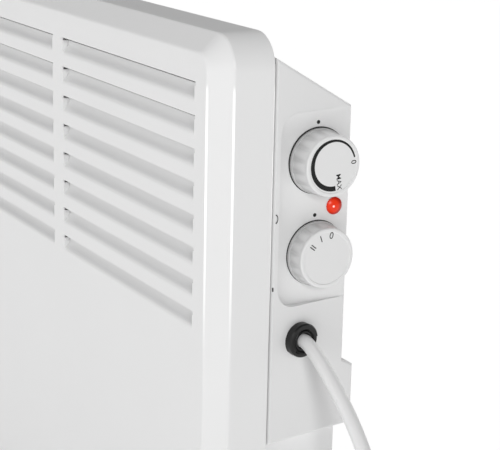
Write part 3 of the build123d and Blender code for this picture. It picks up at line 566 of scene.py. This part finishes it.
# %% Mode marks and dots
MODE_MARKS = [("0", 12.6, 79.0), ("I", 11.8, 110.0), ("II", 11.3, 142.5)]
MODE_HEIGHT = 3.9
DOTS = [("thermostat_dot", 68.07, 50.18), ("mode_dot", 67.6, 102.04)]
DOT_RADIUS = 1.1
DOT_STEPS = 24

flat, faces = [], []
for text, radius, angle in MODE_MARKS:
    more, more_faces = letters(text, MODE_HEIGHT, polar(radius, angle), math.radians(angle - 90.0))
    faces += [tuple(len(flat) + i for i in face) for face in more_faces]
    flat += more
points = on_face(SWITCH["face"], SWITCH["level"], flat)
printed("mode_marks", "mode_switch", points, faces)
for name, depth, level in DOTS:
    ring = [polar(DOT_RADIUS, i * 360.0 / DOT_STEPS) for i in range(DOT_STEPS)]
    rim = [spot(RECESS_FLOOR + INK_LIFT, depth + right, level - up) for right, up in ring]
    printed(name, "heater", rim, [tuple(range(DOT_STEPS))])
print("dots and mode marks ready")

# %% [markdown]
# Small black parts draw the dark lines of the control side. The first is a thin black strip of painted
# shade in the gap between the panel's lip and the cover, where there is only shadow. Its section is
# repeated at four levels, a little smaller at both ends, and the rings are joined by faces.

# %% Gap shade strip
def solid(name, vertices, faces, slot):
    """A closed piece of the heater's body from points in metres."""
    mesh = bpy.data.meshes.new(name)
    mesh.from_pydata([tuple(vertex) for vertex in vertices], [], faces)
    mesh.materials.append(finishes[slot])
    mesh.shade_smooth()
    mesh.set_sharp_from_angle(angle=SHARP)
    made = bpy.data.objects.new(name, mesh)
    bpy.context.collection.objects.link(made)
    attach(made, "heater")
    return made


# painted shade: a black strip stands for the shadow in the gap between panel and cover
GAP_STRIP_SECTION = [(288.9, 36.6), (289.9, 35.7), (290.7, 35.75),
                (291.1, 36.25), (290.7, 36.8), (289.9, 36.85)]
GAP_STRIP_LEVELS = [14.5, 15.3, 227.5, 228.6]
GAP_STRIP_END_SHRINK = 0.7

points = []
for level in GAP_STRIP_LEVELS:
    shrink = GAP_STRIP_END_SHRINK if level in (GAP_STRIP_LEVELS[0], GAP_STRIP_LEVELS[-1]) else 0.0
    points += [spot(x - shrink, depth, level) for x, depth in GAP_STRIP_SECTION]
count = len(GAP_STRIP_SECTION)
faces = [tuple(range(count))[::-1], tuple(range(3 * count, 4 * count))]
for row in range(len(GAP_STRIP_LEVELS) - 1):
    here, there = row * count, (row + 1) * count
    for i in range(count):
        j = (i + 1) % count
        faces.append((here + i, here + j, there + j, there + i))
solid("gap_shade_strip", points, faces, "rubber_pad")
print("gap_strip rings:", len(GAP_STRIP_LEVELS))

# %% [markdown]
# Under each knob lies a thin black ring of painted shade, which stands for the shadow in the gap between
# the knob and the recess floor, and a soft lip closes the gland round the cord. All of them are round,
# so one function turns a section about any direction.

# %% Gap shades and the gland's lip
TURNED_STEPS = 96
KNOB_GAP_SHADES = [("thermostat_washer", THERMOSTAT["level"], 18.75), ("mode_washer", SWITCH["level"], 18.5)]
GAP_SHADE_BORE = 15.0
LIP_MIDDLE, LIP_REACH, LIP_HEIGHT = 5.25, 1.05, 3.1
LIP_TALL = 1.2


def turned(name, section, centre, normal, slot):
    """A ring from a section of (radius, height) pairs in mm, turned about a normal."""
    up = Vector((0, 0, 1))
    across = up.cross(normal).normalized()
    points, faces = [], []
    for step in range(TURNED_STEPS):
        for radius, height in section:
            right, rise = polar(radius, 360.0 * step / TURNED_STEPS)
            points.append(centre + (across * right + up * rise + normal * height) * MM)
    count = len(section)
    for step in range(TURNED_STEPS):
        here, there = step * count, (step + 1) % TURNED_STEPS * count
        for i in range(count):
            j = (i + 1) % count
            faces.append((here + i, there + i, there + j, here + j))
    return solid(name, points, faces, slot)


# painted shade: a black ring under each knob stands for the shadow in the gap, set a little off the
# knob's axis
for name, level, reach in KNOB_GAP_SHADES:
    section = [(GAP_SHADE_BORE, 0.02), (reach - 0.4, 0.02), (reach, 0.12),
               (reach - 0.05, 0.35), (reach - 0.4, 0.5), (GAP_SHADE_BORE, 0.5)]
    middle = spot(RECESS_FLOOR, KNOB_DEPTH - 0.1, level - 0.2)
    turned(name, section, middle, Vector((1, 0, 0)), "rubber_pad")

section = []
for degrees in range(0, 360, 24):
    angle = math.radians(degrees)
    reach = LIP_MIDDLE + LIP_REACH * math.cos(angle)
    section.append((reach, LIP_HEIGHT + LIP_TALL * LIP_REACH * math.sin(angle)))
turned("gland_lip", section, gland_centre * MM, gland_normal, "gland_black")
print("gap_shades:", len(KNOB_GAP_SHADES), "and one gland lip")

# %% [markdown]
# The coil is put away for storage, so a soft strap holds its strands together. It is a flat band
# bent round both layers with rounded corners, and its loop stands across the strands.

# %% Strap
STRAP_WIDTH = 7.0
STRAP_THICKNESS = 0.8
STRAP_CORNER = 3.5
STRAP_REACH = (COIL_Y - 50.6, COIL_Y - 27.6)
STRAP_HEIGHT = 2 * CORD_RADIUS + COIL_LAYER + STRAP_THICKNESS


def strap_loop(inset):
    """Points (y, z) of a rounded rectangle round the strands, moved inwards by inset."""
    low, high = STRAP_REACH[0] + inset, STRAP_REACH[1] - inset
    corner = STRAP_CORNER - inset
    left, right_side = low + corner, high - corner
    bottom, top = inset + corner, STRAP_HEIGHT - inset - corner
    corners = [(right_side, top, 0), (left, top, 90), (left, bottom, 180), (right_side, bottom, 270)]
    for y, z, start in corners:
        for step in range(7):
            right, up = polar(corner, start + 15.0 * step)
            yield y + right, z + up


outer, inner = list(strap_loop(0.0)), list(strap_loop(STRAP_THICKNESS))
count = len(outer)
points = []
for x in (-STRAP_WIDTH / 2, STRAP_WIDTH / 2):
    for y, z in outer + inner:
        points.append(Vector((COIL_X - COIL_RADIUS + x, y, z)) * MM)
faces = []
for i in range(count):
    j = (i + 1) % count
    faces.append((i, j, 2 * count + j, 2 * count + i))
    faces.append((count + j, count + i, 3 * count + i, 3 * count + j))
    faces.append((j, i, count + i, count + j))
    faces.append((2 * count + i, 2 * count + j, 3 * count + j, 3 * count + i))
strap = solid("cord_strap", points, faces, "rubber_pad")
print("strap loop", round(STRAP_REACH[1] - STRAP_REACH[0], 1), "mm wide")

# %% [markdown]
# On the cover's front strip one sees the dark gap round half of a catch, with a small slot below.
# Both are openings too fine to see into, so a thin dark shape on the strip is enough for each.

# %% Catch and slot
STRIP = PANEL_RIGHT - 1.58
CATCH = {"depth": 38.6, "level": 99.6, "outer": 2.6, "inner": 1.9, "squash": 0.6}
CATCH_STEPS = 12
SLOT = {"depth": 37.9, "level": 139.0, "radius": 0.45, "half": 0.8}
SLOT_STEPS = 12

arcs = []
for radius in (CATCH["outer"], CATCH["inner"]):
    arcs += [polar(radius, -90.0 + 180.0 / CATCH_STEPS * i) for i in range(CATCH_STEPS + 1)]
rim = []
for right, up in arcs:
    rim.append(spot(STRIP, CATCH["depth"] + CATCH["squash"] * right, CATCH["level"] - up))
far = CATCH_STEPS + 1
printed("catch_gap", "heater", rim, [(i, i + 1, far + i + 1, far + i) for i in range(CATCH_STEPS)])

rim = []
for step in range(SLOT_STEPS):
    right, up = polar(SLOT["radius"], 360.0 / SLOT_STEPS * step)
    half = SLOT["half"] if up > 0 else -SLOT["half"]
    rim.append(spot(STRIP, SLOT["depth"] + right, SLOT["level"] - up - half))
printed("catch_slot", "heater", rim, [tuple(range(SLOT_STEPS))])
print("catch at level", CATCH["level"], "and slot at level", SLOT["level"])

# %% [markdown]
# A pale floor catches soft shadows, and further out it turns into pure white, as the seamless
# paper of a studio does. The change follows the distance from the middle of the object, and the
# white part gives its own light, so the picture's background stays clean.

# %% Floor
REACH = 6.0
FADE_FROM, FADE_TO = 0.40, 0.62
STRETCH = (1.0, 2.2, 1.0)

floor_mesh = bpy.data.meshes.new("floor")
corners = [(-REACH, -REACH, 0), (REACH, -REACH, 0), (REACH, REACH, 0), (-REACH, REACH, 0)]
floor_mesh.from_pydata(corners, [], [(0, 1, 2, 3)])
floor = bpy.data.objects.new("floor", floor_mesh)
bpy.context.collection.objects.link(floor)
paper = Finish("paper", roughness=0.9, specular_ior_level=0.1, emission_strength=1.0)
where = {0: paper.place(STRETCH)}
offset = paper.node("ShaderNodeVectorMath", {"operation": "LENGTH"}, where, output="Value")
far = paper.node("ShaderNodeMapRange", inputs={0: offset, 1: FADE_FROM, 2: FADE_TO, 3: 0.0, 4: 1.0})
paper.feed(paper.shader.inputs["Base Color"], paper.between(far, grey(0.82), grey(0.0)))
paper.feed(paper.shader.inputs["Emission Color"], paper.between(far, grey(0.30), grey(1.0)))
floor_mesh.materials.append(paper.material)
print("floor reaches", REACH, "m")

# %% [markdown]
# The light is that of a white tent. The world gives its even part, and it is weak, so that the
# lamps can shape the heater. Camera rays see plain white instead, which keeps the background
# clean without lighting the object more.

# %% World
TENT_STRENGTH = 0.16

world = bpy.data.worlds.new("tent")
bpy.context.scene.world = world
world.use_nodes = True
nodes, links = world.node_tree.nodes, world.node_tree.links
tent = nodes["Background"]
white = nodes.new("ShaderNodeBackground")
white.inputs["Color"].default_value = grey(1.0)
tent.inputs["Color"].default_value = grey(1.0)
tent.inputs["Strength"].default_value = TENT_STRENGTH
seen = nodes.new("ShaderNodeLightPath")
pick = nodes.new("ShaderNodeMixShader")
links.new(seen.outputs["Is Camera Ray"], pick.inputs[0])
links.new(tent.outputs[0], pick.inputs[1])
links.new(white.outputs[0], pick.inputs[2])
links.new(pick.outputs[0], nodes["World Output"].inputs["Surface"])
print("tent strength", TENT_STRENGTH)

# %% [markdown]
# Square lamps stand for the tent's bright walls: strong from the front and the control side and
# weaker from above, because the panel's top is the darkest white in the picture. The side lamp is
# small, so that the cord's shadow stays clear. One lamp behind serves the views of the back.
# A row holds the lamp's name, place, width and power.

# %% Lamps
LAMPS = [
    ("front", (-0.6, -2.2, 1.2), 1.8, 16.0),
    ("side", (2.1, -0.6, 0.95), 0.5, 14.0),
    ("top", (0.3, -0.3, 2.4), 1.0, 10.0),
    ("low", (1.6, -1.9, 0.4), 1.0, 5.0),
    ("back", (-0.6, 2.4, 1.3), 1.6, 14.0),
]
LAMPS_AIM = Vector((0.25, 0.0, 0.3))

for name, place, size, power in LAMPS:
    light = bpy.data.lights.new(name, "AREA")
    light.shape = "SQUARE"
    light.size = size
    light.energy = power
    lamp = bpy.data.objects.new(name, light)
    bpy.context.collection.objects.link(lamp)
    lamp.location = place
    aim = LAMPS_AIM - lamp.location
    lamp.rotation_euler = aim.to_track_quat("-Z", "Y").to_euler()
print("lamps:", len(LAMPS))
